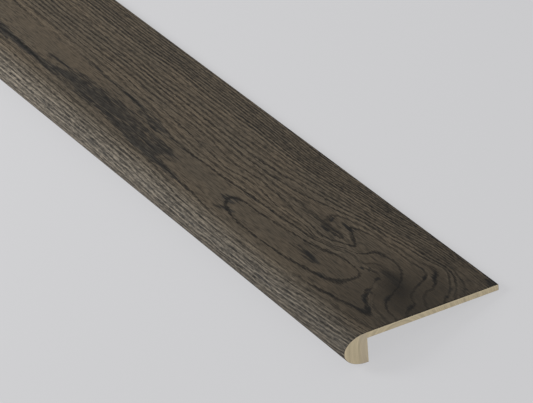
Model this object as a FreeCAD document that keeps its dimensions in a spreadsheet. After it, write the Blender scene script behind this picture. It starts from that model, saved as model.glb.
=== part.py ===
import FreeCAD, Part
import Sketcher
import math
import os

# Overlay stair tread, one piece of wood: a thin flat plate that lies on an old step,
# with a deep bullnose along its front edge that drops down over the old step's nosing.
# Units are millimetres. X runs along the tread, Y from its nose to its back, Z is up.
# The section is drawn as the tread lies on a step, top face level at height 0 and the
# front of the nose at depth 0. At rest on a level floor the tread tips back onto two
# edges, and the placement at the end turns and lifts it so.

SIZES = {
    "tread_length": (1500.0, "along the front edge, end to end"),
    "tread_depth": (300.0, "front of the nose to the back edge"),
    "nose_height": (56.0, "top face to the underside of the nose"),
    "plate_thickness": (11.0, "flat plate behind the nose"),
    "nose_reach": (42.5, "depth of the half-ellipse front of the nose"),
    "nose_flat": (2.5, "flat strip between the half ellipse and the back of the nose"),
    "eased_edge": (0.8, "radius that eases the three long arrises"),
}


def make_sheet(document):
    """Write every size into its own named cell of the sheet."""
    sheet = document.addObject("Spreadsheet::Sheet", "sizes")
    for row, (name, (value, meaning)) in enumerate(SIZES.items(), start=1):
        sheet.set(f"A{row}", name)
        sheet.set(f"B{row}", str(value))
        sheet.set(f"C{row}", meaning)
        sheet.setAlias(f"B{row}", name)
    document.recompute()
    return sheet


def origin_plane(body, role):
    """Return the body's own origin plane that has this role."""
    return next(plane for plane in body.Origin.OriginFeatures if plane.Role == role)


def draw_section(body, sheet):
    """Sketch the tread's section across its length, bound to the sheet."""
    back = sheet.tread_depth
    under = -sheet.plate_thickness
    bottom = -sheet.nose_height
    reach = sheet.nose_reach
    nose_back = reach + sheet.nose_flat
    sketch = body.newObject("Sketcher::SketchObject", "tread_section")
    sketch.AttachmentSupport = [(origin_plane(body, "YZ_Plane"), "")]
    sketch.MapMode = "FlatFace"

    centre = FreeCAD.Vector(reach, bottom / 2, 0)
    half_ellipse = Part.ArcOfEllipse(
        Part.Ellipse(centre, reach, -bottom / 2), math.pi / 2, 3 * math.pi / 2
    )
    corners = [
        FreeCAD.Vector(reach, 0, 0),
        FreeCAD.Vector(back, 0, 0),
        FreeCAD.Vector(back, under, 0),
        FreeCAD.Vector(nose_back, under, 0),
        FreeCAD.Vector(nose_back, bottom, 0),
        FreeCAD.Vector(reach, bottom, 0),
    ]
    nose = sketch.addGeometry(half_ellipse, False)
    lines = [
        sketch.addGeometry(Part.LineSegment(start, end), False)
        for start, end in zip(corners, corners[1:])
    ]
    top_face, back_edge, plate_under, nose_rear, nose_under = lines
    sketch.exposeInternalGeometry(nose)
    long_axis = nose_under + 1
    short_axis = nose_under + 2

    start, end, middle = 1, 2, 3
    origin = -1
    upright = -2
    for first, second in zip(lines, lines[1:]):
        sketch.addConstraint(Sketcher.Constraint("Coincident", first, end, second, start))
    sketch.addConstraint(Sketcher.Constraint("Coincident", nose, start, top_face, start))
    sketch.addConstraint(Sketcher.Constraint("Coincident", nose, end, nose_under, end))
    for level in (top_face, plate_under, nose_under, long_axis):
        sketch.addConstraint(Sketcher.Constraint("Horizontal", level))
    for plumb in (back_edge, nose_rear):
        sketch.addConstraint(Sketcher.Constraint("Vertical", plumb))
    for nose_end in (start, end):
        sketch.addConstraint(Sketcher.Constraint("PointOnObject", nose, nose_end, short_axis))
    sketch.addConstraint(Sketcher.Constraint("PointOnObject", long_axis, end, upright))
    sketch.addConstraint(Sketcher.Constraint("PointOnObject", top_face, start, origin))

    measured = {
        "reach": ("DistanceX", long_axis, end, nose, middle, reach, "nose_reach"),
        "flat": ("DistanceX", nose_under, end, nose_rear, end, nose_back - reach, "nose_flat"),
        "drop": ("DistanceY", nose_rear, end, top_face, start, -bottom, "nose_height"),
        "depth": ("DistanceX", long_axis, end, top_face, end, back, "tread_depth"),
        "plate": ("DistanceY", back_edge, end, back_edge, start, -under, "plate_thickness"),
    }
    for label, (kind, line_a, point_a, line_b, point_b, value, size) in measured.items():
        number = sketch.addConstraint(
            Sketcher.Constraint(kind, line_a, point_a, line_b, point_b, value)
        )
        sketch.renameConstraint(number, label)
        sketch.setExpression(f"Constraints.{label}", f"sizes.{size}")
    return sketch


def make_tread(document, sheet):
    """Carry the section along the tread, ease its long arrises and lay it on the floor."""
    body = document.addObject("PartDesign::Body", "stair_tread")
    sketch = draw_section(body, sheet)
    stock = body.newObject("PartDesign::Pad", "stock")
    stock.Profile = sketch
    stock.SideType = "Symmetric"
    stock.setExpression("Length", "sizes.tread_length")
    document.recompute()

    arrises = [
        FreeCAD.Vector(0, sheet.tread_depth, 0),
        FreeCAD.Vector(0, sheet.tread_depth, -sheet.plate_thickness),
        FreeCAD.Vector(0, sheet.nose_reach + sheet.nose_flat, -sheet.nose_height),
    ]
    eased = body.newObject("PartDesign::Fillet", "eased_arrises")
    eased.Base = (stock, [edge_through(stock.Shape, point) for point in arrises])
    eased.setExpression("Radius", "sizes.eased_edge")
    document.recompute()

    body.Placement = resting_place(sheet)
    return body


def edge_through(shape, point):
    """Name the edge of a shape that passes nearest to a point."""
    target = Part.Vertex(point)
    gaps = [edge.distToShape(target)[0] for edge in shape.Edges]
    return f"Edge{gaps.index(min(gaps)) + 1}"


def resting_place(sheet):
    """Turn and lift the tread as it lies on a floor, with its box centred over the origin.

    It rests on the back arris of the nose and the lower arris of the back edge. Both have
    the same radius, so the slope of the line between them is the angle that it tips back.
    """
    radius = sheet.eased_edge
    half_height = sheet.nose_height / 2
    nose_back = sheet.nose_reach + sheet.nose_flat
    step_drop = sheet.nose_height - sheet.plate_thickness
    tip = math.atan2(step_drop, sheet.tread_depth - nose_back)
    sine = math.sin(tip)
    cosine = math.cos(tip)

    def turned(depth, height):
        """Depth and height of a point of the section after it tips back."""
        return depth * cosine + height * sine, height * cosine - depth * sine

    lowest = turned(nose_back - radius, radius - sheet.nose_height)[1] - radius
    front = turned(sheet.nose_reach, -half_height)[0]
    front -= math.hypot(sheet.nose_reach * cosine, half_height * sine)
    rear = turned(sheet.tread_depth - radius, -radius)[0] + radius
    return FreeCAD.Placement(
        FreeCAD.Vector(0, -(front + rear) / 2, -lowest),
        FreeCAD.Rotation(FreeCAD.Vector(1, 0, 0), -math.degrees(tip)),
    )


def check(document, body):
    """Stop with a plain message if any object failed or the solid isn't whole."""
    for item in document.Objects:
        if "Invalid" in item.State or "Error" in item.State:
            raise SystemExit(f"{item.Name} is {item.State}")
    if body.Shape.isNull() or not body.Shape.isValid() or len(body.Shape.Solids) != 1:
        raise SystemExit(f"{body.Label} is not one whole solid")


document = FreeCAD.newDocument("stair_tread")
sheet = make_sheet(document)
tread = make_tread(document, sheet)
document.recompute()
check(document, tread)
box = tread.Shape.BoundBox
print(f"{tread.Label}: {tread.Shape.Volume / 1e6:.3f} litres")
print(f"box {box.XMin:.2f} {box.YMin:.2f} {box.ZMin:.2f} to {box.XMax:.2f} {box.YMax:.2f} {box.ZMax:.2f}")
os.makedirs("parts", exist_ok=True)
tread.Shape.exportStep(f"parts/{tread.Label}.step")
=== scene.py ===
import math

import bpy
import numpy as np
from mathutils import Matrix, Vector


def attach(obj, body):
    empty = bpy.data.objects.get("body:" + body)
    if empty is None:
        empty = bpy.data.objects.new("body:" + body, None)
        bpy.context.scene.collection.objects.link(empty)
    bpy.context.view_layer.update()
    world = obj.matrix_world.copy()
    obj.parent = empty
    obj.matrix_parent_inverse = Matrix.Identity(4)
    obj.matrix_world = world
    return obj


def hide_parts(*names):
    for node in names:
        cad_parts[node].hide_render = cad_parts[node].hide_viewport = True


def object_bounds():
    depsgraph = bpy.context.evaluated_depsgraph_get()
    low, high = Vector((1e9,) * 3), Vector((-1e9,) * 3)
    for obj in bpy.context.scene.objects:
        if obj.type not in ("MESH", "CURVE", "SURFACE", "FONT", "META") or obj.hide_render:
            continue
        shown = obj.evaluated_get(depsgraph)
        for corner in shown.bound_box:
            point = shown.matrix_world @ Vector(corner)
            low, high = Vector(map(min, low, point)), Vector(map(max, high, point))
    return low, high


# An overlay stair tread in one piece of stained oak, lying unheld on a pale floor.
# Lengths are in metres. The board's own directions are: along, from the near end;
# depth, from the front of the nose to the back; height, up from the top face.
# Girth is measured on the surface from the back edge over the top and round the nose.

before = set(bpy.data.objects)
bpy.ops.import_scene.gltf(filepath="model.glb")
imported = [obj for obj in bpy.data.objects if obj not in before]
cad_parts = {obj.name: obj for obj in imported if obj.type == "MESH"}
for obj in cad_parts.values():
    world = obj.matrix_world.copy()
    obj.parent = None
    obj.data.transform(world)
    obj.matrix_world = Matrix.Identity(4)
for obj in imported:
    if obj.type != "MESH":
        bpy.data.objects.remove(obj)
cad_low, cad_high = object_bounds()

# The section, as the part is made
DEPTH = 0.300
NOSE_HEIGHT = 0.056
PLATE = 0.011
NOSE_REACH = 0.0425
NOSE_BACK = 0.045
EASED = 0.0008
END_EASED = 0.0004
TIP = math.atan2(NOSE_HEIGHT - PLATE, DEPTH - NOSE_BACK)
TOP_GIRTH = DEPTH - NOSE_REACH

# The mesh: fine where the grain swirls, coarse where it is hidden or straight
SWIRL_LENGTH = 0.560
FINE_STEP = 0.0026
LONG_STEP = 0.008
ACROSS_STEP = 0.0020
UNDER_STEP = 0.016
ARRIS_STEPS = 3
SHARP_ANGLE = math.radians(40)

# The camera, measured from the photograph: angles round the board as it lies level
VIEW_TURN = math.radians(61.887)
VIEW_RISE = math.radians(29.094)
VIEW_ROLL = math.radians(4.469)
VIEW_DISTANCE = 6.3781
FRAME_WIDTH = 533
FRAME_HEIGHT = 403
FOCAL_PIXELS = 3943.6
NEAR_CORNER_PIXEL = (343.22, 340.91)
SENSOR_WIDTH = 36.0


def line(start, end, step):
    """Evenly spaced points on a straight run, its end left out."""
    start = np.array(start)
    end = np.array(end)
    count = max(1, round(float(np.linalg.norm(end - start)) / step))
    share = np.arange(count)[:, None] / count
    return start + share * (end - start)


def arc(centre, reach, rise, first, last, count):
    """Points round an ellipse from one angle to another: centre plus reach times the
    cosine in depth and rise times the sine in height, its end left out."""
    angle = np.radians(first + (last - first) * np.arange(count) / count)
    return np.column_stack([centre[0] + reach * np.cos(angle), centre[1] + rise * np.sin(angle)])


def section():
    """The tread's outline as depth and height, once round from the foot of the back edge:
    up the back, forward over the top, round the nose and back along the underside."""
    half = NOSE_HEIGHT / 2
    nose_points = round(math.pi * math.hypot(NOSE_REACH, half) / math.sqrt(2) / ACROSS_STEP)
    parts = {
        "back": line((DEPTH, EASED - PLATE), (DEPTH, -EASED), ACROSS_STEP),
        "back_arris": arc((DEPTH - EASED, -EASED), EASED, EASED, 0, 90, ARRIS_STEPS),
        "top": line((DEPTH - EASED, 0.0), (NOSE_REACH, 0.0), ACROSS_STEP),
        "nose": arc((NOSE_REACH, -half), NOSE_REACH, half, 90, 270, nose_points),
        "nose_foot": line((NOSE_REACH, -NOSE_HEIGHT), (NOSE_BACK - EASED, -NOSE_HEIGHT), ACROSS_STEP),
        "foot_arris": arc((NOSE_BACK - EASED, EASED - NOSE_HEIGHT), EASED, EASED, -90, 0, ARRIS_STEPS),
        "nose_rear": line((NOSE_BACK, EASED - NOSE_HEIGHT), (NOSE_BACK, -PLATE), UNDER_STEP / 2),
        "under": line((NOSE_BACK, -PLATE), (DEPTH - EASED, -PLATE), UNDER_STEP),
        "heel_arris": arc((DEPTH - EASED, EASED - PLATE), EASED, EASED, -90, 0, ARRIS_STEPS),
    }
    points = np.vstack(list(parts.values()))
    finished = ("back", "back_arris", "top", "nose", "nose_foot")
    is_finished = np.concatenate([np.full(len(p), name in finished) for name, p in parts.items()])
    step = np.linalg.norm(np.diff(points, axis=0), axis=1)
    run = np.concatenate([[0.0], np.cumsum(step)])
    top_start = len(parts["back"]) + len(parts["back_arris"])
    girth = run - run[top_start] + EASED
    return points, girth, is_finished


def shrunk(points, inset):
    """The outline moved inwards: each point along the mitre of its two neighbouring edges."""
    forward = np.roll(points, -1, axis=0) - points
    forward /= np.linalg.norm(forward, axis=1)[:, None]
    outward = np.column_stack([forward[:, 1], -forward[:, 0]])
    both = outward + np.roll(outward, 1, axis=0)
    both /= np.linalg.norm(both, axis=1)[:, None]
    cosine = (both * outward).sum(axis=1)
    return points - both * (inset / cosine)[:, None]


def to_row(along, depth, height):
    """Turn the level board to how it lies: the back tips down by TIP about the long axis.
    Depth becomes depth cos + height sin, and height becomes height cos - depth sin."""
    return np.stack([
        along,
        depth * math.cos(TIP) + height * math.sin(TIP),
        height * math.cos(TIP) - depth * math.sin(TIP),
    ], axis=-1)


outline, outline_girth, outline_finished = section()
LENGTH = cad_high.x - cad_low.x
lying = to_row(np.zeros(len(outline)), outline[:, 0], outline[:, 1])
cad_middle = (cad_low + cad_high) / 2
SHIFT = np.array([
    cad_high.x,
    cad_middle.y - (lying[:, 1].min() + lying[:, 1].max()) / 2,
    cad_low.z - lying[:, 2].min(),
])


# Growth rings. Each entry is a ring's number and the path where it comes out on the finished
# face, as distance from the near end and girth, both in millimetres. Rings rise in number
# away from the heart of the board, towards the back edge and round the nose.
RING_PATHS = {
    "near eye": (1, [
        (526, 212), (500, 199), (450, 197), (375, 190), (300, 180), (268, 174), (237, 164), (200, 162),
        (170, 166), (160, 180), (167, 200), (178, 214), (200, 222), (237, 228), (325, 239), (450, 241),
        (500, 231)]),
    "heart": (1.5, [
        (560, 214), (630, 216), (700, 216), (850, 212), (1000, 204), (1200, 197), (1500, 192)]),
    "round the heart": (2, [
        (1500, 158), (1340, 161), (1270, 161), (1200, 161), (1128, 161), (1053, 165), (940, 170),
        (893, 178), (817, 180), (737, 186), (637, 184), (550, 180), (450, 176), (350, 171), (300, 165),
        (250, 153), (200, 151), (182, 150), (150, 142), (135, 150), (122, 170), (100, 197), (80, 207),
        (50, 221), (70, 227), (100, 233), (137, 241), (175, 248), (225, 254), (275, 257), (375, 261),
        (450, 262), (550, 258), (650, 250), (800, 243), (900, 243), (1015, 240), (1165, 236),
        (1340, 227), (1500, 225)]),
    "hook": (3, [
        (450, 167), (350, 163), (280, 156), (225, 143), (200, 146), (185, 135), (170, 125), (150, 124),
        (125, 135), (107, 160), (88, 187), (62, 205), (0, 215)]),
    "wide hook": (4, [
        (1500, 136), (1190, 139), (978, 143), (812, 150), (737, 155), (625, 161), (450, 160),
        (312, 160), (275, 153), (240, 139), (222, 129), (216, 122), (213, 112), (203, 105), (185, 102),
        (160, 100), (145, 103), (130, 108), (118, 116), (102, 129), (86, 148), (70, 172), (58, 184),
        (45, 190), (20, 194), (0, 198)]),
    "fold": (5, [
        (1340, 126), (1000, 128), (800, 130), (725, 133), (562, 137), (450, 140), (412, 145),
        (337, 150), (300, 148), (280, 139), (262, 132), (250, 125), (262, 118), (280, 110), (295, 104),
        (308, 99), (295, 92), (275, 86), (240, 81), (190, 78), (137, 77), (112, 76), (100, 80),
        (88, 91), (78, 107), (66, 124), (55, 137), (32, 145), (17, 166), (0, 178)]),
    "outer fold": (6, [
        (1340, 118), (900, 120), (725, 124), (525, 125), (450, 124), (350, 128), (300, 131), (288, 129),
        (330, 123), (350, 117), (363, 106), (360, 97), (337, 88), (300, 80), (237, 75), (170, 69),
        (137, 65), (100, 62), (80, 75), (60, 88), (52, 107), (38, 122), (20, 131), (0, 138)]),
    "seventh": (7, [
        (1340, 110), (800, 112), (625, 115), (550, 114), (475, 107), (412, 93), (367, 84), (315, 72),
        (225, 61), (190, 57), (130, 51), (110, 47), (90, 46), (70, 53), (50, 63), (30, 76), (18, 88),
        (0, 106)]),
    "eighth": (8, [
        (1340, 101), (1000, 100), (750, 102), (600, 100), (500, 90), (450, 84), (400, 78), (300, 62),
        (200, 51), (120, 43), (72, 44), (50, 53), (30, 63), (15, 73), (0, 86)]),
    "ninth": (9, [
        (1340, 92), (1000, 92), (700, 92), (600, 87), (500, 80), (400, 69), (300, 56), (200, 43),
        (120, 36), (80, 36), (60, 40), (45, 42), (30, 48), (18, 55), (0, 68)]),
    "tenth": (10, [
        (1340, 83), (1000, 83), (700, 82), (600, 78), (500, 71), (400, 61), (300, 50), (200, 38),
        (120, 30), (60, 31), (0, 45)]),
    "eleventh": (11, [
        (1340, 68), (1000, 68), (800, 70), (700, 70), (600, 67), (500, 62), (400, 54), (300, 44),
        (200, 32), (120, 25), (40, 26), (0, 31)]),
    "thirteenth": (13, [
        (1340, 53), (1000, 51), (700, 51), (600, 53), (500, 49), (400, 42), (300, 33), (200, 21),
        (120, 16), (40, 18), (0, 19)]),
    "fifteenth": (15, [
        (1340, 38), (1000, 36), (700, 39), (600, 41), (500, 38), (400, 30), (200, 10), (120, 6), (0, 8)]),
    "eighteenth": (18, [(1340, 20), (1000, 21), (700, 23), (550, 26), (400, 16), (250, 3), (0, -8)]),
    "twenty-second": (22, [(1340, 0), (700, 2), (500, 6), (300, -10)]),
    "front third": (3, [
        (0, 239), (75, 252), (175, 262), (300, 271), (450, 273), (600, 266), (750, 257), (1100, 253),
        (1500, 247)]),
    "front fourth": (4, [
        (0, 252), (150, 267), (300, 280), (450, 283), (600, 277), (900, 268), (1500, 262)]),
    "front seventh": (7, [(0, 278), (300, 298), (450, 300), (900, 288), (1500, 282)]),
    "front eleventh": (11, [(0, 303), (300, 322), (450, 323), (900, 311), (1500, 306)]),
    "front sixteenth": (16, [(0, 336), (450, 354), (1500, 338)]),
}
RING_STRETCH = 3.0

# The grain's figure: the girth it is drawn over and the least and most space between rings,
# in millimetres
GRAIN_GIRTH = (-12, 380)
PITCH_RANGE = (2, 60)
MILLIMETRES = 1000

# How the surface changes, in metres: girths where the nose's look, with its partly painted
# lighter colour, begins and is whole, and ring spaces that count as narrow and as wide
NOSE_LOOK = (TOP_GIRTH - 0.008, TOP_GIRTH + 0.030)
NARROW_PITCH = 0.009
WIDE_PITCH = 0.024

# Finer lines between the rings: how many to a ring, and where their noise is read
FINER_RINGS = 1.57
FINER_SHIFT = (3.1, 1.7, 0.0)

# Rings inside the wood, for the faces that show it raw
PITH_DEPTH = 0.105
PITH_HEIGHT = -0.040
RING_WIDTH = 0.0050

# Where the sawn ends change tone, as depths and a height at which each change begins and is
# whole
NOTCH_BEGINS = (0.027, 0.034)
NOTCH_ENDS = (0.041, 0.047)
PLATE_BEGINS = (0.046, 0.060)
TOP_RIM = (-0.0035, -0.0012)

# Colours of the stained wood. The mineral grey is a share of the wood's own colour.
TOP_BROWN = (0.124, 0.098, 0.068, 1)
TOP_DARKER_BROWN = (0.104, 0.085, 0.061, 1)
# The nose's brown is paler and greyer than the top's: partly the wood's own tone, partly painted light for
# the stronger light that falls on the nose.
NOSE_BROWN_WITH_PAINTED_LIGHT = (0.158, 0.136, 0.1065, 1)
MINERAL_GREY = (0.31, 0.35, 0.42, 1)
TOP_INK = (0.0080, 0.0078, 0.0072, 1)
NOSE_INK = (0.0095, 0.0090, 0.0082, 1)

# Colours of the raw wood along the grain and on the sawn ends
RAW_PALE = (0.52, 0.43, 0.30, 1)
RAW_DARKER = (0.45, 0.365, 0.25, 1)
RAW_RING = (0.27, 0.20, 0.125, 1)
RAW_PORE = (0.25, 0.18, 0.11, 1)
END_PALE = (0.53, 0.445, 0.295, 1)
END_DARKER = (0.355, 0.30, 0.20, 1)
END_NOTCH = (0.37, 0.315, 0.245, 1)
END_RIM = (0.56, 0.48, 0.33, 1)
END_SPECK = (0.24, 0.18, 0.11, 1)

# The studio: colours, the world's fill light, the floor's glow to the camera and its half size
WHITE = (1, 1, 1, 1)
BACKDROP = (0.617, 0.617, 0.631, 1)
FLOOR_PALE = (0.6, 0.6, 0.61, 1)
FILL_LIGHT = 0.42
FLOOR_GLOW = 0.82
FLOOR_REACH = 6.0


def plate_kernel(points, centres):
    """Thin-plate kernel: half the squared distance times its logarithm, which is kept finite
    where a point is a centre."""
    squared = ((points[:, None, :] - centres[None, :, :]) ** 2).sum(axis=-1)
    least = 1e-9
    return 0.5 * squared * np.log(squared + least)


def ring_field():
    """Solve the smooth surface that passes through every ring path at its ring's number:
    a thin plate over length and girth, with the length shortened by RING_STRETCH."""
    centres = np.array([(u / RING_STRETCH, g) for _, path in RING_PATHS.values() for u, g in path])
    numbers = np.array([number for number, path in RING_PATHS.values() for _ in path], float)
    count = len(centres)
    system = np.zeros((count + 3, count + 3))
    plane = np.column_stack([np.ones(count), centres])
    system[:count, :count] = plate_kernel(centres, centres)
    system[:count, count:] = plane
    system[count:, :count] = plane.T
    weights = np.linalg.solve(system, np.concatenate([numbers, np.zeros(3)]))

    def at(along, girth):
        """Ring number at places given in millimetres from the near end and girth. The points
        go through in blocks, so that the kernel's table stays small."""
        points = np.column_stack([along.ravel() / RING_STRETCH, girth.ravel()])
        block_size = 20000
        blocks = [
            plate_kernel(block, centres) @ weights[:count] + weights[count] + block @ weights[count + 1:]
            for block in np.array_split(points, 1 + len(points) // block_size)
        ]
        return np.concatenate(blocks).reshape(along.shape)

    return at


# Marks: distance from the near end, girth, half length, half width, turn in degrees and
# strength. Millimetres. The first set is grey mineral stain.
STAINS = {
    "patch's heart": (1030, 220, 105, 24, -2, 0.9),
    "patch's waist": (945, 216, 100, 29, -3, 0.9),
    "patch's near part": (850, 226, 92, 25, -4, 0.85),
    "patch's front": (800, 242, 80, 12, -4, 0.85),
    "patch's near end": (725, 247, 82, 9, -3, 0.9),
    "patch's tail": (630, 252, 45, 5, -3, 0.6),
    "patch's tip": (775, 229, 28, 5, 0, 0.7),
    "near strokes": (752, 217, 62, 16, 0, 0.78),
    "patch's core": (1100, 209, 18, 5, 0, 0.95),
    "patch's strokes": (1122, 222, 42, 8, 2, 0.95),
    "patch's far end": (1165, 231, 52, 11, 3, 1.0),
    "patch's upper edge": (1085, 196, 42, 3, 3, 0.85),
    "far stroke": (1165, 204.5, 62, 3.2, 1, 0.9),
    "far dark line": (1245, 233, 62, 7, 2, 1.0),
    "far blob": (1385, 228, 52, 11, 2, 1.0),
    "far strokes": (1325, 231, 58, 10, 2, 1.0),
    "long finger": (955, 168, 58, 4.5, -5, 0.9),
    "broad finger": (850, 182, 68, 13, -8, 0.9),
    "finger's tail": (757, 186, 36, 5, -2, 0.65),
    "far back line": (1115, 163, 60, 4.5, -2, 0.75),
    "back line's blob": (1035, 165, 24, 5, -4, 0.8),
    "near eye's far tip": (520, 212, 24, 14, 10, 1.0),
    "far tip's front": (492, 235, 24, 5.5, 12, 0.95),
    "above the far tip": (508, 180, 28, 4.5, 3, 0.8),
    "eye's streak": (262, 201, 30, 6.5, -6, 1.0),
    "fold's strands": (315, 101, 18, 4.5, -3, 0.85),
    "fold's blob": (302, 101, 9, 6, 0, 0.9),
    "fold's back": (299, 92, 10, 4, -20, 0.7),
    "fold's turn": (354, 110, 14, 5.5, -50, 0.75),
    "fold's shelf": (335, 124, 15, 3, 0, 0.8),
    "fold's smudge": (336, 133, 20, 6, -12, 0.8),
    "fold's belly": (308, 130, 15, 7, -20, 0.65),
    "fold's trail": (382, 127, 30, 6, 0, 0.5),
    "cloud": (142, 131, 24, 11, 0, 0.5),
    "cloud's core": (135, 151, 6, 9, 0, 0.8),
    "cloud's strokes": (170, 146, 8, 3.5, -20, 0.85),
    "cloud's near strokes": (182, 153, 7, 4.5, 0, 0.85),
    "hook's band": (98, 135, 42, 14, -26, 0.52),
    "hook's stroke": (70, 172, 17, 7, -48, 0.8),
    "hook's foot": (48, 188, 12, 4.5, -25, 0.8),
    "eye's tip": (164, 181, 6, 16, 0, 0.6),
    "eye's lower tip": (172, 208, 15, 6, 20, 0.65),
    "eye's lower blob": (203, 220, 20, 6.5, 10, 0.95),
    "flank's stroke": (105, 183, 9, 2.2, 0, 0.8),
    "flank's back": (114, 179, 5, 8, 0, 0.7),
    "flank": (100, 200, 11, 6, -40, 0.85),
    "flank's front": (86, 206, 10, 4.5, -15, 0.85),
    "flank's foot": (66, 212, 15, 7, -35, 0.75),
    "heart's tip": (60, 222, 14, 6, 0, 0.8),
    "heart's front": (78, 229, 24, 3, 0, 0.8),
    "front strokes": (140, 240, 14, 3.5, 6, 0.9),
    "front corner": (35, 243, 24, 3, 3, 0.7),
    "shoulder": (122, 75, 15, 3, 0, 0.8),
    "shoulder's turn": (92, 86, 10, 5, -30, 0.85),
    "shoulder's fall": (78, 106, 16, 4, -52, 0.65),
    "outer shoulder": (84, 73, 16, 5, -35, 0.85),
    "outer shoulder's end": (62, 85, 10, 3.5, -40, 0.75),
    "end's smear": (32, 73, 14, 6, -45, 0.8),
    "end's foot": (17, 92, 6, 9, 0, 0.75),
    "end's lower smear": (25, 155, 16, 7, -60, 0.75),
    "corner's line": (46, 42, 14, 2.5, 0, 0.7),
    "corner's blob": (17, 54, 7, 5, 0, 0.75),
    "near corner": (6, 8, 24, 12, 0, 1.0),
    "sawn edge": (0, 150, 6, 140, 0, 0.62),
}

# Short dark strokes of open pores
STROKES = {
    "eye's upper stroke": (284, 199.5, 38, 2.3, -1, 1.0),
    "eye's middle stroke": (276, 205, 46, 2.5, 0, 1.0),
    "eye's lower stroke": (262, 210.5, 30, 2.0, 0, 0.95),
    "eye's far stroke": (318, 208, 22, 1.8, 3, 0.7),
    "fold's upper stroke": (322, 99, 22, 1.9, -2, 0.9),
    "fold's middle stroke": (312, 103, 20, 1.9, -4, 0.9),
    "fold's bend": (352, 108, 12, 2.6, -50, 0.9),
    "cloud's stroke": (180, 154, 8, 3.0, -10, 0.6),
    "flank's upper stroke": (114, 178, 7, 3.5, -55, 0.9),
    "flank's middle stroke": (102, 192, 10, 3.2, -50, 0.9),
    "flank's lower stroke": (88, 206, 11, 3.0, -25, 1.0),
    "tip's stroke": (58, 214, 13, 3.0, -25, 1.0),
    "tip's lower stroke": (60, 226, 20, 2.2, 4, 0.9),
    "front stroke": (140, 240, 18, 2.6, 6, 1.0),
    "front corner's stroke": (110, 252, 26, 1.8, 3, 0.8),
    "outer shoulder's stroke": (84, 70, 20, 2.4, -36, 0.9),
    "shoulder's stroke": (88, 88, 12, 3.0, -50, 0.8),
    "end's stroke": (20, 72, 20, 2.4, -40, 0.7),
    "patch's first stroke": (755, 209, 34, 2.4, 0, 1.0),
    "patch's second stroke": (748, 217, 30, 2.2, 0, 0.9),
    "patch's third stroke": (782, 230, 36, 2.4, -3, 1.0),
    "patch's fourth stroke": (715, 229, 22, 2.0, 0, 0.8),
    "patch's fifth stroke": (975, 207, 30, 3.0, 0, 1.0),
    "patch's sixth stroke": (905, 234, 40, 2.6, -4, 0.9),
    "patch's seventh stroke": (860, 205, 40, 2.2, -2, 0.8),
    "patch's eighth stroke": (1010, 232, 44, 2.6, 0, 0.9),
    "patch's ninth stroke": (700, 249, 60, 2.4, -2, 0.9),
    "finger's stroke": (950, 169, 44, 2.8, -5, 1.0),
    "finger's second stroke": (838, 193, 30, 2.4, -6, 0.9),
    "finger's third stroke": (712, 187, 44, 2.2, 2, 0.8),
    "far stroke": (1168, 204.5, 60, 2.0, 1, 1.0),
    "far line's stroke": (1285, 231, 40, 3.0, 1, 1.0),
    "far line's second stroke": (1230, 233, 36, 2.8, 2, 1.0),
    "far line's third stroke": (1345, 229, 34, 2.6, 4, 0.9),
    "far line's fourth stroke": (1385, 222, 30, 2.4, 4, 1.0),
}

# Where a ring's line is heavy
HEAVY = {
    "eye's lower line": (226, 225, 42, 9, 14, 0.9),
    "eye's lower tip": (178, 210, 16, 10, 25, 0.9),
    "eye's tip": (163, 187, 9, 20, 0, 0.7),
    "fold's slope": (272, 115, 24, 7, -24, 0.9),
    "fold's corner": (254, 125, 8, 10, 0, 0.9),
    "fold's underside": (280, 140, 24, 6, -22, 0.6),
    "wide hook's bend": (214, 118, 10, 13, 0, 0.9),
    "wide hook's fall": (122, 113, 16, 7, -36, 0.9),
    "flank": (95, 200, 26, 10, -38, 0.8),
    "heart's tip": (60, 221, 16, 9, 0, 0.8),
    "front line": (140, 241, 28, 5, 8, 0.6),
    "near shoulders": (84, 80, 30, 14, -35, 0.25),
    "far tip": (522, 210, 24, 15, 0, 0.5),
    "far tip's front": (490, 232, 26, 8, 14, 0.5),
}

# Where a ring's line all but fades out
FAINT = {
    "inside the hook": (88, 178, 30, 6, -42, 0.9),
    "in the cloud": (130, 142, 32, 14, -20, 0.55),
    "near end's fan": (18, 62, 22, 34, -20, 0.45),
    "under the fold": (215, 152, 40, 6, 0, 0.8),
    "near corner": (40, 22, 60, 14, 0, 0.5),
    "beside the patch": (900, 243, 280, 8, -1, 0.62),
    "in the fingers": (850, 179, 120, 8, -3, 0.55),
    "back line": (1045, 163, 120, 6, -1, 0.4),
    "far back line": (1270, 161, 120, 6, 0, 0.5),
    "beyond the heart's tip": (124, 172, 12, 18, -20, 0.5),
    "front line": (395, 264, 190, 7, 1, 0.45),
    "front line's near part": (232, 255, 44, 5, 4, 0.5),
}

# Where the wood is smooth, with little figure between its ring lines
CALM = {
    "near end": (50, 150, 175, 105, 0, 0.75),
    "near eye": (360, 212, 175, 25, 0, 0.45),
    "above the far tip": (660, 212, 110, 26, 0, 0.4),
    "far smooth wood": (1230, 186, 170, 20, 0, 0.5),
}

# Broad darker tones of the wood
SHADES = {
    "near end": (-20, 120, 200, 150, 0, 0.48),
    "near swirl": (250, 170, 200, 90, 0, 0.08),
    "hook's smear": (80, 146, 32, 17, -24, 0.32),
    "hook's upper smear": (124, 122, 22, 9, 8, 0.30),
    "cloud": (140, 134, 28, 15, 0, 0.14),
    "near front": (110, 225, 80, 30, 0, 0.18),
    "near eye": (260, 200, 110, 32, 0, 0.08),
    "hook": (112, 136, 50, 26, 0, 0.32),
    "hook to the end": (50, 160, 54, 34, 0, 0.24),
    "patch": (960, 218, 230, 34, -3, 0.12),
    "far end": (1200, 160, 260, 70, 0, 0.08),
}


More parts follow.
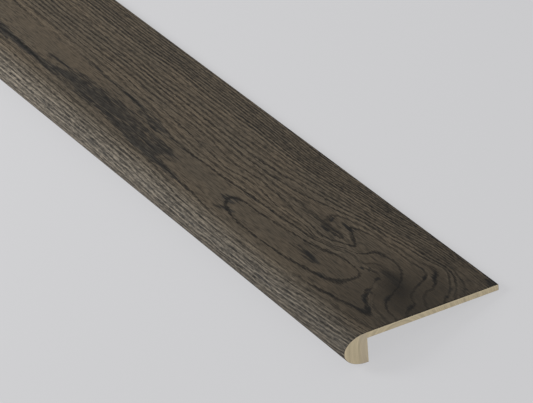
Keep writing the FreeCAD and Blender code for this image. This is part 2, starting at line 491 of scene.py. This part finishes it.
def soft_marks(marks, along, girth):
    """Strength of a set of marks: 1 less the product of 1 less each mark, and each mark is
    a bell over a turned ellipse, its height times exp(-r^3) at r times its half axes."""
    clear = np.ones(along.shape)
    for middle_u, middle_g, half_u, half_g, turn, strength in marks.values():
        angle = math.radians(turn)
        du = along - middle_u
        dg = girth - middle_g
        long_way = (du * math.cos(angle) + dg * math.sin(angle)) / half_u
        short_way = (dg * math.cos(angle) - du * math.sin(angle)) / half_g
        clear *= 1 - strength * np.exp(-(long_way ** 2 + short_way ** 2) ** 1.5)
    return 1 - clear


def make_tread():
    """The tread: its section carried along the length, closed by a flat face at each end."""
    quarter = np.radians(90 * np.arange(ARRIS_STEPS + 1) / ARRIS_STEPS)
    out = END_EASED * np.sin(quarter)
    inset = END_EASED * (1 - np.cos(quarter))
    far_run = np.arange(END_EASED + LONG_STEP, LENGTH - SWIRL_LENGTH, LONG_STEP)
    near_run = np.arange(LENGTH - SWIRL_LENGTH, LENGTH - END_EASED - FINE_STEP / 2, FINE_STEP)
    places = np.concatenate([END_EASED - out[::-1], far_run, near_run, LENGTH - END_EASED + out])
    insets = np.concatenate([inset[::-1], np.zeros(len(far_run) + len(near_run)), inset])
    count = len(outline)
    rings = np.stack([shrunk(outline, amount) for amount in insets])
    along = np.repeat((places - LENGTH)[:, None], count, axis=1)
    points = to_row(along, rings[..., 0], rings[..., 1]) + SHIFT

    column = np.arange(len(places) - 1)[:, None] * count
    here = np.arange(count)[None, :]
    after = (here + 1) % count
    sides = np.stack([column + here, column + after, column + count + after, column + count + here], axis=-1)
    near_end = list(range((len(places) - 1) * count, len(places) * count))
    far_end = list(range(count))[::-1]
    mesh = bpy.data.meshes.new("tread")
    mesh.from_pydata(points.reshape(-1, 3).tolist(), [], sides.reshape(-1, 4).tolist() + [near_end, far_end])
    mesh.update()
    mesh.set_sharp_from_angle(angle=SHARP_ANGLE)
    finished = np.tile(outline_finished, len(places) - 1)
    slots = np.concatenate([np.where(finished, 0, 1), [2, 2]]).astype(np.int32)
    mesh.polygons.foreach_set("material_index", slots)
    for end in mesh.polygons[-2:]:
        end.use_smooth = False

    away = -along * MILLIMETRES
    girth = np.tile(outline_girth * MILLIMETRES, (len(places), 1))
    shown = np.clip(girth, *GRAIN_GIRTH)
    ring_at = ring_field()
    ring = ring_at(away, shown)
    nudge = 0.5
    slope = np.hypot(
        ring_at(away + nudge, shown) - ring_at(away - nudge, shown),
        ring_at(away, shown + nudge) - ring_at(away, shown - nudge),
    ) / (2 * nudge)
    least_slope = 0.5 / PITCH_RANGE[1]
    pitch = np.clip(1 / np.maximum(slope, least_slope), *PITCH_RANGE) / MILLIMETRES
    write_values(mesh, "ring", ring)
    write_values(mesh, "pitch", pitch)
    for name, marks in {"stain": STAINS, "stroke": STROKES, "calm": CALM, "shade": SHADES}.items():
        write_values(mesh, name, soft_marks(marks, away, shown))
    write_values(mesh, "heavy", soft_marks(HEAVY, away, shown) - soft_marks(FAINT, away, shown))
    unrolled = np.stack([away, girth, np.zeros(away.shape)], axis=-1) / MILLIMETRES
    layer = mesh.attributes.new("unrolled", "FLOAT_VECTOR", "POINT")
    layer.data.foreach_set("vector", unrolled.astype(np.float32).ravel())
    tread = bpy.data.objects.new("tread", mesh)
    bpy.context.collection.objects.link(tread)
    return tread


def write_values(mesh, name, values):
    """Keep one number for each point of a mesh."""
    layer = mesh.attributes.new(name, "FLOAT", "POINT")
    layer.data.foreach_set("value", values.astype(np.float32).ravel())


class Bench:
    """Adds nodes to one shader tree. Each call takes numbers or sockets and returns an output."""

    def __init__(self, tree):
        self.tree = tree

    def add(self, kind, inputs=(), output=0, **settings):
        """A node of one kind: its settings, its inputs by name or number, and one output."""
        node = self.tree.nodes.new(kind)
        for name, value in settings.items():
            setattr(node, name, value)
        for name, value in dict(inputs).items():
            self.feed(node.inputs[name], value)
        return node.outputs[output]

    def feed(self, socket, value):
        """Link a socket, or set a plain value."""
        if isinstance(value, bpy.types.NodeSocket):
            self.tree.links.new(value, socket)
        else:
            socket.default_value = value

    def stored(self, name, output="Fac"):
        """A value that the mesh keeps for each of its points."""
        return self.add("ShaderNodeAttribute", output=output, attribute_name=name)

    def math(self, operation, *values, clamp=False):
        """One arithmetic step on numbers."""
        return self.add("ShaderNodeMath", dict(enumerate(values)), operation=operation, use_clamp=clamp)

    def times(self, first, second, clamp=False):
        """The product of two numbers."""
        return self.math("MULTIPLY", first, second, clamp=clamp)

    def weighed(self, value, weight, base, clamp=False):
        """A number times its weight, added to a base."""
        return self.math("MULTIPLY_ADD", value, weight, base, clamp=clamp)

    def rest(self, share):
        """What a share leaves of 1."""
        return self.math("SUBTRACT", 1.0, share)

    def ease(self, value, low, high):
        """0 below low, 1 above high, smooth between."""
        return self.add("ShaderNodeMapRange", {"Value": value, "From Min": low, "From Max": high},
                        interpolation_type="SMOOTHSTEP")

    def scaled(self, vector, factors):
        """A vector times one factor for each axis."""
        return self.add("ShaderNodeVectorMath", {0: vector, 1: factors}, operation="MULTIPLY")

    def noise(self, vector, detail=2.0, roughness=0.5, warp=0.0):
        """Smooth noise from 0 to 1 at scale 1."""
        return self.add("ShaderNodeTexNoise", {
            "Vector": vector, "Scale": 1.0, "Detail": detail, "Roughness": roughness, "Distortion": warp,
        })

    def grain(self, place, along, across, **settings):
        """Noise with this many cells to the metre along the fibres and across them."""
        return self.noise(self.scaled(place, (along, across, across)), **settings)

    def swing(self, value):
        """Noise from 0 to 1 turned to run from -1 to 1."""
        return self.weighed(value, 2.0, -1.0)

    def own_number(self, value):
        """A random number from 0 to 1 that belongs to a whole number."""
        return self.add("ShaderNodeTexWhiteNoise", {"W": value}, noise_dimensions="1D")

    def mix(self, share, first, second, blend="MIX"):
        """Blend two colours by a share."""
        node = self.tree.nodes.new("ShaderNodeMix")
        node.data_type = "RGBA"
        node.blend_type = blend
        self.feed(node.inputs["Factor"], share)
        self.feed(node.inputs[6], first)
        self.feed(node.inputs[7], second)
        return node.outputs[2]

    def lit(self, colour, light):
        """A colour times a plain grey light."""
        grey = self.add("ShaderNodeCombineColor", {0: light, 1: light, 2: light})
        return self.mix(1.0, colour, grey, "MULTIPLY")

    def relief(self, height, strength, depth):
        """A bumped normal from a height."""
        return self.add("ShaderNodeBump", {"Height": height, "Strength": strength, "Distance": depth})


def new_group(name, inputs, outputs):
    """A shader node group with named sockets, and a bench to fill it."""
    group = bpy.data.node_groups.new(name, "ShaderNodeTree")
    for label, kind in inputs.items():
        group.interface.new_socket(label, in_out="INPUT", socket_type=kind)
    for label, kind in outputs.items():
        group.interface.new_socket(label, in_out="OUTPUT", socket_type=kind)
    bench = Bench(group)
    given = group.nodes.new("NodeGroupInput").outputs
    result = group.nodes.new("NodeGroupOutput").inputs
    return group, bench, given, result


def use_group(bench, group, inputs):
    """Place a node group, feed its inputs and return its outputs."""
    node = bench.tree.nodes.new("ShaderNodeGroup")
    node.node_tree = group
    for name, value in inputs.items():
        bench.feed(node.inputs[name], value)
    return node.outputs


def ring_line_group():
    """Growth-ring lines. The ring number, wobbled along the fibres, is compared with the nearest
    whole number, and the difference times the pitch is the distance to that ring's line. Line
    is a band of pores, dense and sharp on one side and thinning out in dashes on the other.
    Each ring has its own breadth and darkness, which change along it. Rim is a strip on both
    sides of the line, and Zone is the ring's own number from 0 to 1."""
    group, bench, given, result = new_group(
        "growth_rings",
        {"Ring": "NodeSocketFloat", "Pitch": "NodeSocketFloat", "Place": "NodeSocketVector",
         "Heavy": "NodeSocketFloat", "Waver": "NodeSocketFloat"},
        {"Line": "NodeSocketFloat", "Rim": "NodeSocketFloat", "Zone": "NodeSocketFloat"},
    )
    place = given["Place"]
    pitch = given["Pitch"]
    heavy = given["Heavy"]

    # How far a line strays sideways, in metres: slow drift, fine fray, and raggedness where heavy
    drift = bench.swing(bench.grain(place, 15.0, 130.0, detail=1.0))
    fray = bench.swing(bench.grain(place, 80.0, 430.0, detail=2.0, roughness=0.6))
    rag = bench.swing(bench.grain(place, 45.0, 260.0, detail=3.0, roughness=0.7))
    fray_reach = bench.weighed(bench.ease(pitch, 0.006, 0.016), 0.0028, 0.0010)
    rag_reach = bench.times(bench.math("MAXIMUM", heavy, 0.0), 0.0045)
    wobble = bench.weighed(fray, fray_reach, bench.times(drift, given["Waver"]))
    wobble = bench.weighed(rag, rag_reach, wobble)
    ring = bench.math("ADD", given["Ring"], bench.math("DIVIDE", wobble, pitch))
    whole = bench.math("ROUND", ring)
    distance = bench.times(bench.math("SUBTRACT", ring, whole), pitch)

    # What each ring has of its own, and how it changes along the ring
    breadth = bench.own_number(whole)
    darkness = bench.own_number(bench.math("ADD", whole, 0.37))
    along = bench.add("ShaderNodeSeparateXYZ", {0: place})
    spot = bench.add("ShaderNodeCombineXYZ", {0: bench.times(along, 12.0), 1: bench.times(whole, 7.3)})
    patchy = bench.noise(spot, detail=4.0, roughness=0.65)

    # The band of pores, measured in shares of its width
    width = bench.weighed(pitch, 0.020, 0.0014)
    for value, weight, base in ((breadth, 0.6, 0.7), (patchy, 1.0, 0.5), (heavy, 0.7, 1.0)):
        width = bench.times(width, bench.weighed(value, weight, base))
    width = bench.math("MAXIMUM", width, 0.0004)
    sharp_side = bench.math("DIVIDE", bench.times(distance, -1.0), bench.times(width, 0.9))
    loose_side = bench.math("DIVIDE", distance, bench.times(width, 1.7))
    away = bench.math("MAXIMUM", sharp_side, loose_side)
    dashes = bench.ease(bench.grain(place, 90.0, 420.0, detail=1.0), 0.40, 0.58)
    core = bench.rest(bench.ease(away, 0.5, 0.95))
    skirt = bench.times(bench.rest(bench.ease(away, 0.5, 1.6)), dashes)
    band = bench.math("MAXIMUM", bench.times(core, bench.weighed(dashes, 0.36, 0.64)), skirt)
    rim = bench.times(bench.ease(away, 0.9, 1.5), bench.rest(bench.ease(away, 1.7, 2.8)))

    strength = bench.weighed(darkness, 0.45, 0.62)
    strength = bench.times(strength, bench.weighed(patchy, 1.2, 0.35), clamp=True)
    strength = bench.math("MINIMUM", bench.math("ADD", strength, heavy), 1.0)
    bench.feed(result["Line"], bench.times(band, strength, clamp=True))
    bench.feed(result["Rim"], bench.times(rim, strength, clamp=True))
    bench.feed(result["Zone"], darkness)
    return group


def fibre_group():
    """Wood fibres that run along the first axis. Streaks sum three noises stretched along them,
    broad, fine and hair-thin. Strands are one more broad noise, which tears the edge of a stain.
    Flecks and pores are dark dashes where two more are high, and mottle is broad soft patches."""
    group, bench, given, result = new_group(
        "wood_fibres",
        {"Place": "NodeSocketVector"},
        {"Streaks": "NodeSocketFloat", "Strands": "NodeSocketFloat", "Flecks": "NodeSocketFloat",
         "Pores": "NodeSocketFloat", "Mottle": "NodeSocketFloat"},
    )
    place = given["Place"]
    broad = bench.swing(bench.grain(place, 12.0, 230.0, detail=1.0))
    fine = bench.swing(bench.grain(place, 38.0, 450.0, detail=1.0))
    hair = bench.swing(bench.grain(place, 60.0, 900.0, detail=2.0))
    streaks = bench.weighed(hair, 1.4, bench.weighed(fine, 3.0, bench.times(broad, 0.9)))
    bench.feed(result["Streaks"], streaks)
    bench.feed(result["Strands"], bench.swing(bench.grain(place, 13.0, 230.0, detail=2.0, roughness=0.6)))
    bench.feed(result["Flecks"], bench.ease(bench.grain(place, 60.0, 430.0, detail=1.0), 0.55, 0.66))
    bench.feed(result["Pores"], bench.ease(bench.grain(place, 130.0, 1900.0, detail=1.0), 0.55, 0.68))
    bench.feed(result["Mottle"], bench.grain(place, 5.0, 22.0, detail=3.0, roughness=0.55, warp=0.4))
    return group


def pith_group():
    """Rings through the raw wood. Distance is measured from the pith, a line along the board
    below its top face, with a slow wander, and Ring is that distance over the ring width."""
    group, bench, given, result = new_group(
        "rings_round_the_pith",
        {"Place": "NodeSocketVector"},
        {"Distance": "NodeSocketFloat", "Ring": "NodeSocketFloat"},
    )
    place = given["Place"]
    pith = (0.0, PITH_DEPTH, PITH_HEIGHT)
    offset = bench.add("ShaderNodeVectorMath", {0: place, 1: pith}, operation="SUBTRACT")
    flat = bench.scaled(offset, (0.0, 1.0, 1.0))
    distance = bench.add("ShaderNodeVectorMath", {0: flat}, output="Value", operation="LENGTH")
    wander = bench.swing(bench.grain(place, 1.6, 9.0, detail=2.0))
    distance = bench.weighed(wander, 0.008, distance)
    bench.feed(result["Distance"], distance)
    bench.feed(result["Ring"], bench.math("DIVIDE", distance, RING_WIDTH))
    return group


def new_material(name):
    """An empty material with its surface shader, and a bench to fill it."""
    material = bpy.data.materials.new(name)
    material.use_nodes = True
    shader = material.node_tree.nodes["Principled BSDF"]
    return material, Bench(material.node_tree), shader


def level_place(bench):
    """Object coordinates turned and moved back to the level board: along, depth and height."""
    coordinates = bench.add("ShaderNodeTexCoord", output="Object")
    moved = -(Matrix.Rotation(TIP, 3, "X") @ Vector(SHIFT))
    return bench.add("ShaderNodeMapping", {
        "Vector": coordinates, "Location": moved, "Rotation": (TIP, 0.0, 0.0),
    }, vector_type="POINT")


def stained_oak(rings, fibres):
    """The finished face: brown-grey stain over open-grained oak, dark in the pores and rings."""
    material, bench, shader = new_material("stained_oak")
    place = bench.stored("unrolled", "Vector")
    ring = bench.stored("ring")
    pitch = bench.stored("pitch")
    calm = bench.stored("calm")
    lively = bench.rest(calm)
    girth = bench.add("ShaderNodeSeparateXYZ", {0: place}, output=1)
    nose = bench.ease(girth, *NOSE_LOOK)
    narrow = bench.rest(bench.ease(pitch, NARROW_PITCH, WIDE_PITCH))
    waver = bench.weighed(nose, 0.0022, 0.0020)
    grain = use_group(bench, rings, {
        "Ring": ring,
        "Pitch": bench.times(pitch, bench.weighed(nose, 0.15, 1.0)),
        "Place": place,
        "Heavy": bench.stored("heavy"),
        "Waver": waver,
    })
    finer = use_group(bench, rings, {
        "Ring": bench.times(ring, FINER_RINGS),
        "Pitch": bench.times(pitch, 1 / FINER_RINGS),
        "Place": bench.add("ShaderNodeVectorMath", {0: place, 1: FINER_SHIFT}, operation="ADD"),
        "Heavy": 0.0,
        "Waver": waver,
    })
    fibre = use_group(bench, fibres, {"Place": place})

    # The stained wood between the lines, lighter and darker with its fibres and rings
    wood = bench.mix(bench.ease(fibre["Mottle"], 0.3, 0.7), TOP_BROWN, TOP_DARKER_BROWN)
    # The nose takes its paler, greyer brown: partly its own tone, partly painted light.
    wood = bench.mix(nose, wood, NOSE_BROWN_WITH_PAINTED_LIGHT)
    streak_share = bench.times(bench.weighed(narrow, 0.08, 0.46), lively)
    light = bench.weighed(fibre["Streaks"], streak_share, bench.weighed(narrow, 0.34, 0.755))
    zone = bench.times(bench.math("SUBTRACT", grain["Zone"], 0.5), bench.weighed(narrow, 0.18, 0.12))
    light = bench.math("MAXIMUM", bench.math("ADD", light, zone), 0.4)
    light = bench.math("MINIMUM", light, bench.weighed(narrow, 0.22, 1.03))
    light = bench.math("ADD", light, bench.times(grain["Rim"], bench.weighed(narrow, 0.18, 0.06)))
    light = bench.times(light, bench.rest(bench.stored("shade")))
    wood = bench.lit(wood, light)

    # Grey mineral stain with torn edges
    torn = bench.times(fibre["Strands"], bench.weighed(calm, 0.85, -1.1))
    ragged = bench.weighed(bench.stored("stain"), 0.92, torn)
    ragged = bench.weighed(bench.times(fibre["Streaks"], lively), -0.16, ragged)
    smoked = bench.mix(1.0, wood, MINERAL_GREY, "MULTIPLY")
    smoked = bench.lit(smoked, bench.weighed(fibre["Streaks"], 0.30, 0.97))
    wood = bench.mix(bench.times(bench.ease(ragged, 0.22, 0.82), 0.9), wood, smoked)

    # Dark pores: the ring lines, finer lines between them, strokes, flecks and single pores
    ink = bench.mix(nose, TOP_INK, NOSE_INK)
    gaps = bench.rest(bench.ease(bench.grain(place, 36.0, 210.0, detail=1.0), 0.38, 0.52))
    line_share = bench.times(grain["Line"], bench.weighed(calm, -0.40, 0.94))
    line_share = bench.times(line_share, bench.rest(bench.times(bench.times(gaps, nose), 0.5)))
    wood = bench.mix(line_share, wood, ink)
    finer_share = bench.times(bench.times(finer["Line"], narrow), bench.weighed(nose, 0.32, 0.18))
    wood = bench.mix(finer_share, wood, ink)
    stroke = bench.ease(bench.weighed(fibre["Streaks"], -0.16, bench.stored("stroke")), 0.25, 0.70)
    wood = bench.mix(bench.times(stroke, 0.72), wood, ink)
    fleck_share = bench.weighed(narrow, 0.18, bench.weighed(nose, 0.16, 0.12))
    fleck_share = bench.times(bench.times(fibre["Flecks"], fleck_share), lively)
    wood = bench.mix(fleck_share, wood, ink)
    pore_share = bench.times(fibre["Pores"], bench.weighed(narrow, 0.25, 0.25))
    wood = bench.mix(pore_share, wood, ink)
    bench.feed(shader.inputs["Base Color"], wood)

    rough = bench.weighed(fibre["Streaks"], 0.05, bench.weighed(grain["Line"], 0.12, 0.62))
    bench.feed(shader.inputs["Roughness"], rough)
    height = bench.weighed(grain["Line"], -0.7, bench.times(fibre["Streaks"], 0.2))
    height = bench.weighed(fibre["Pores"], -0.35, height)
    bench.feed(shader.inputs["Normal"], bench.relief(height, 0.6, 0.00025))
    shader.inputs["IOR"].default_value = 1.45
    shader.inputs["Specular IOR Level"].default_value = 0.12
    return material


def raw_oak(rings, fibres, pith):
    """The unfinished underside: pale planed oak with its fibres and rings along the tread."""
    material, bench, shader = new_material("raw_oak")
    place = level_place(bench)
    fibre = use_group(bench, fibres, {"Place": place})
    grain = use_group(bench, rings, {
        "Ring": use_group(bench, pith, {"Place": place})["Ring"],
        "Pitch": RING_WIDTH,
        "Place": place,
        "Heavy": 0.0,
        "Waver": 0.0006,
    })
    wood = bench.mix(bench.ease(fibre["Mottle"], 0.3, 0.7), RAW_PALE, RAW_DARKER)
    light = bench.weighed(grain["Zone"], 0.14, bench.weighed(fibre["Streaks"], 0.14, 0.94))
    wood = bench.lit(wood, light)
    wood = bench.mix(bench.times(grain["Line"], 0.5), wood, RAW_RING)
    wood = bench.mix(bench.times(fibre["Pores"], 0.35), wood, RAW_PORE)
    bench.feed(shader.inputs["Base Color"], wood)
    shader.inputs["Roughness"].default_value = 0.75
    height = bench.weighed(fibre["Pores"], -0.5, fibre["Streaks"])
    bench.feed(shader.inputs["Normal"], bench.relief(height, 0.4, 0.0002))
    return material


def end_oak(pith):
    """The sawn ends: pale end grain in soft stripes that follow the rings, upright on the nose
    and slanting on the plate, with a greyer band near the notch and a paler rim at the top."""
    material, bench, shader = new_material("end_oak")
    place = level_place(bench)
    depth = bench.add("ShaderNodeSeparateXYZ", {0: place}, output=1)
    height = bench.add("ShaderNodeSeparateXYZ", {0: place}, output=2)
    distance = use_group(bench, pith, {"Place": place})["Distance"]
    ringwise = bench.add("ShaderNodeCombineXYZ", {1: distance, 2: bench.times(height, 0.035)})
    broad = bench.swing(bench.grain(ringwise, 1.0, 150.0, detail=2.0, roughness=0.6))
    fine = bench.swing(bench.grain(ringwise, 1.0, 520.0, detail=2.0, roughness=0.6))
    stripes = bench.weighed(bench.weighed(fine, 0.7, broad), 1.1, 0.5, clamp=True)
    specks = bench.noise(bench.scaled(place, (900.0, 1500.0, 900.0)), detail=1.0)
    wood = bench.mix(stripes, END_DARKER, END_PALE)
    by_notch = bench.times(bench.ease(depth, *NOTCH_BEGINS), bench.rest(bench.ease(depth, *NOTCH_ENDS)))
    wood = bench.mix(bench.times(by_notch, 0.5), wood, END_NOTCH)
    rim = bench.times(bench.ease(height, *TOP_RIM), bench.ease(depth, *PLATE_BEGINS))
    wood = bench.mix(bench.times(rim, 0.6), wood, END_RIM)
    wood = bench.mix(bench.times(bench.ease(specks, 0.6, 0.7), 0.3), wood, END_SPECK)
    bench.feed(shader.inputs["Base Color"], wood)
    shader.inputs["Roughness"].default_value = 0.8
    bench.feed(shader.inputs["Normal"], bench.relief(specks, 0.3, 0.0002))
    return material


def make_camera():
    """The photograph's camera, found in the level board's frame and turned with the board.
    It looks from VIEW_DISTANCE with the near top corner of the nose at its measured pixel."""
    back = Vector((
        math.sin(VIEW_TURN) * math.cos(VIEW_RISE),
        -math.cos(VIEW_TURN) * math.cos(VIEW_RISE),
        math.sin(VIEW_RISE),
    ))
    level_right = (-back).cross(Vector((0, 0, 1))).normalized()
    level_down = (-back).cross(level_right)
    right = level_right * math.cos(VIEW_ROLL) + level_down * math.sin(VIEW_ROLL)
    down = level_down * math.cos(VIEW_ROLL) - level_right * math.sin(VIEW_ROLL)
    across = (NEAR_CORNER_PIXEL[0] - FRAME_WIDTH / 2) * VIEW_DISTANCE / FOCAL_PIXELS
    below = (NEAR_CORNER_PIXEL[1] - FRAME_HEIGHT / 2) * VIEW_DISTANCE / FOCAL_PIXELS
    eye = back * VIEW_DISTANCE - right * across - down * below
    turn = Matrix.Rotation(-TIP, 4, "X")
    data = bpy.data.cameras.new("camera")
    data.sensor_width = SENSOR_WIDTH
    data.lens = FOCAL_PIXELS * SENSOR_WIDTH / FRAME_WIDTH
    data.clip_end = 100
    camera = bpy.data.objects.new("camera", data)
    axes = Matrix((right, -down, back)).transposed().to_4x4()
    camera.matrix_world = Matrix.Translation(Vector(SHIFT)) @ turn @ Matrix.Translation(eye) @ axes
    bpy.context.collection.objects.link(camera)
    bpy.context.scene.camera = camera


def make_lamp(name, place, aim, size, power, spread):
    """A square soft lamp that faces a point and shines within a spread."""
    data = bpy.data.lights.new(name, "AREA")
    data.size = size
    data.energy = power
    data.spread = spread
    lamp = bpy.data.objects.new(name, data)
    lamp.location = place
    lamp.rotation_mode = "QUATERNION"
    lamp.rotation_quaternion = (Vector(aim) - Vector(place)).to_track_quat("-Z", "Y")
    bpy.context.collection.objects.link(lamp)


def make_surround():
    """An even world: the backdrop's colour where it is seen, and a weaker white as fill light."""
    world = bpy.data.worlds.new("studio")
    world.use_nodes = True
    bench = Bench(world.node_tree)
    background = world.node_tree.nodes["Background"]
    path = world.node_tree.nodes.new("ShaderNodeLightPath").outputs
    mirrored = bench.math("MAXIMUM", path["Is Glossy Ray"], path["Is Transmission Ray"])
    seen = bench.math("MAXIMUM", path["Is Camera Ray"], mirrored)
    bench.feed(background.inputs["Color"], bench.mix(seen, WHITE, BACKDROP))
    bench.feed(background.inputs["Strength"], bench.weighed(seen, 1 - FILL_LIGHT, FILL_LIGHT))
    bpy.context.scene.world = world


def make_floor():
    """A pale floor that glows a little towards the camera and keeps a soft shadow."""
    corners = [(x * FLOOR_REACH, y * FLOOR_REACH, 0) for x, y in ((-1, -1), (1, -1), (1, 1), (-1, 1))]
    mesh = bpy.data.meshes.new("floor")
    mesh.from_pydata(corners, [], [(0, 1, 2, 3)])
    floor = bpy.data.objects.new("floor", mesh)
    floor.location.z = cad_low.z
    material, bench, shader = new_material("floor")
    shader.inputs["Base Color"].default_value = FLOOR_PALE
    shader.inputs["Roughness"].default_value = 0.9
    glow = bench.add("ShaderNodeEmission", {"Color": BACKDROP, "Strength": 1.0})
    path = material.node_tree.nodes.new("ShaderNodeLightPath").outputs
    share = bench.times(path["Is Camera Ray"], FLOOR_GLOW)
    surface = bench.add("ShaderNodeMixShader", {0: share, 1: shader.outputs[0], 2: glow})
    bench.feed(material.node_tree.nodes["Material Output"].inputs["Surface"], surface)
    mesh.materials.append(material)
    bpy.context.collection.objects.link(floor)


def make_lamps():
    """A broad lamp in front of the nose, and a small one that lights the near end's sawn face."""
    make_lamp("front lamp", place=(-1.7, -2.0, 1.6), aim=(-0.1, 0, 0),
              size=1.4, power=105, spread=math.pi)
    make_lamp("end lamp", place=(3.2, -0.3, 0.45), aim=(cad_high.x, 0, 0.03),
              size=0.9, power=3.2, spread=math.radians(60))


rings = ring_line_group()
fibres = fibre_group()
pith = pith_group()
tread = make_tread()
for finish in (stained_oak(rings, fibres), raw_oak(rings, fibres, pith), end_oak(pith)):
    tread.data.materials.append(finish)
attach(tread, "root")
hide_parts("stair_tread")

make_surround()
make_floor()
make_lamps()
make_camera()
bpy.context.scene.view_settings.view_transform = "Standard"
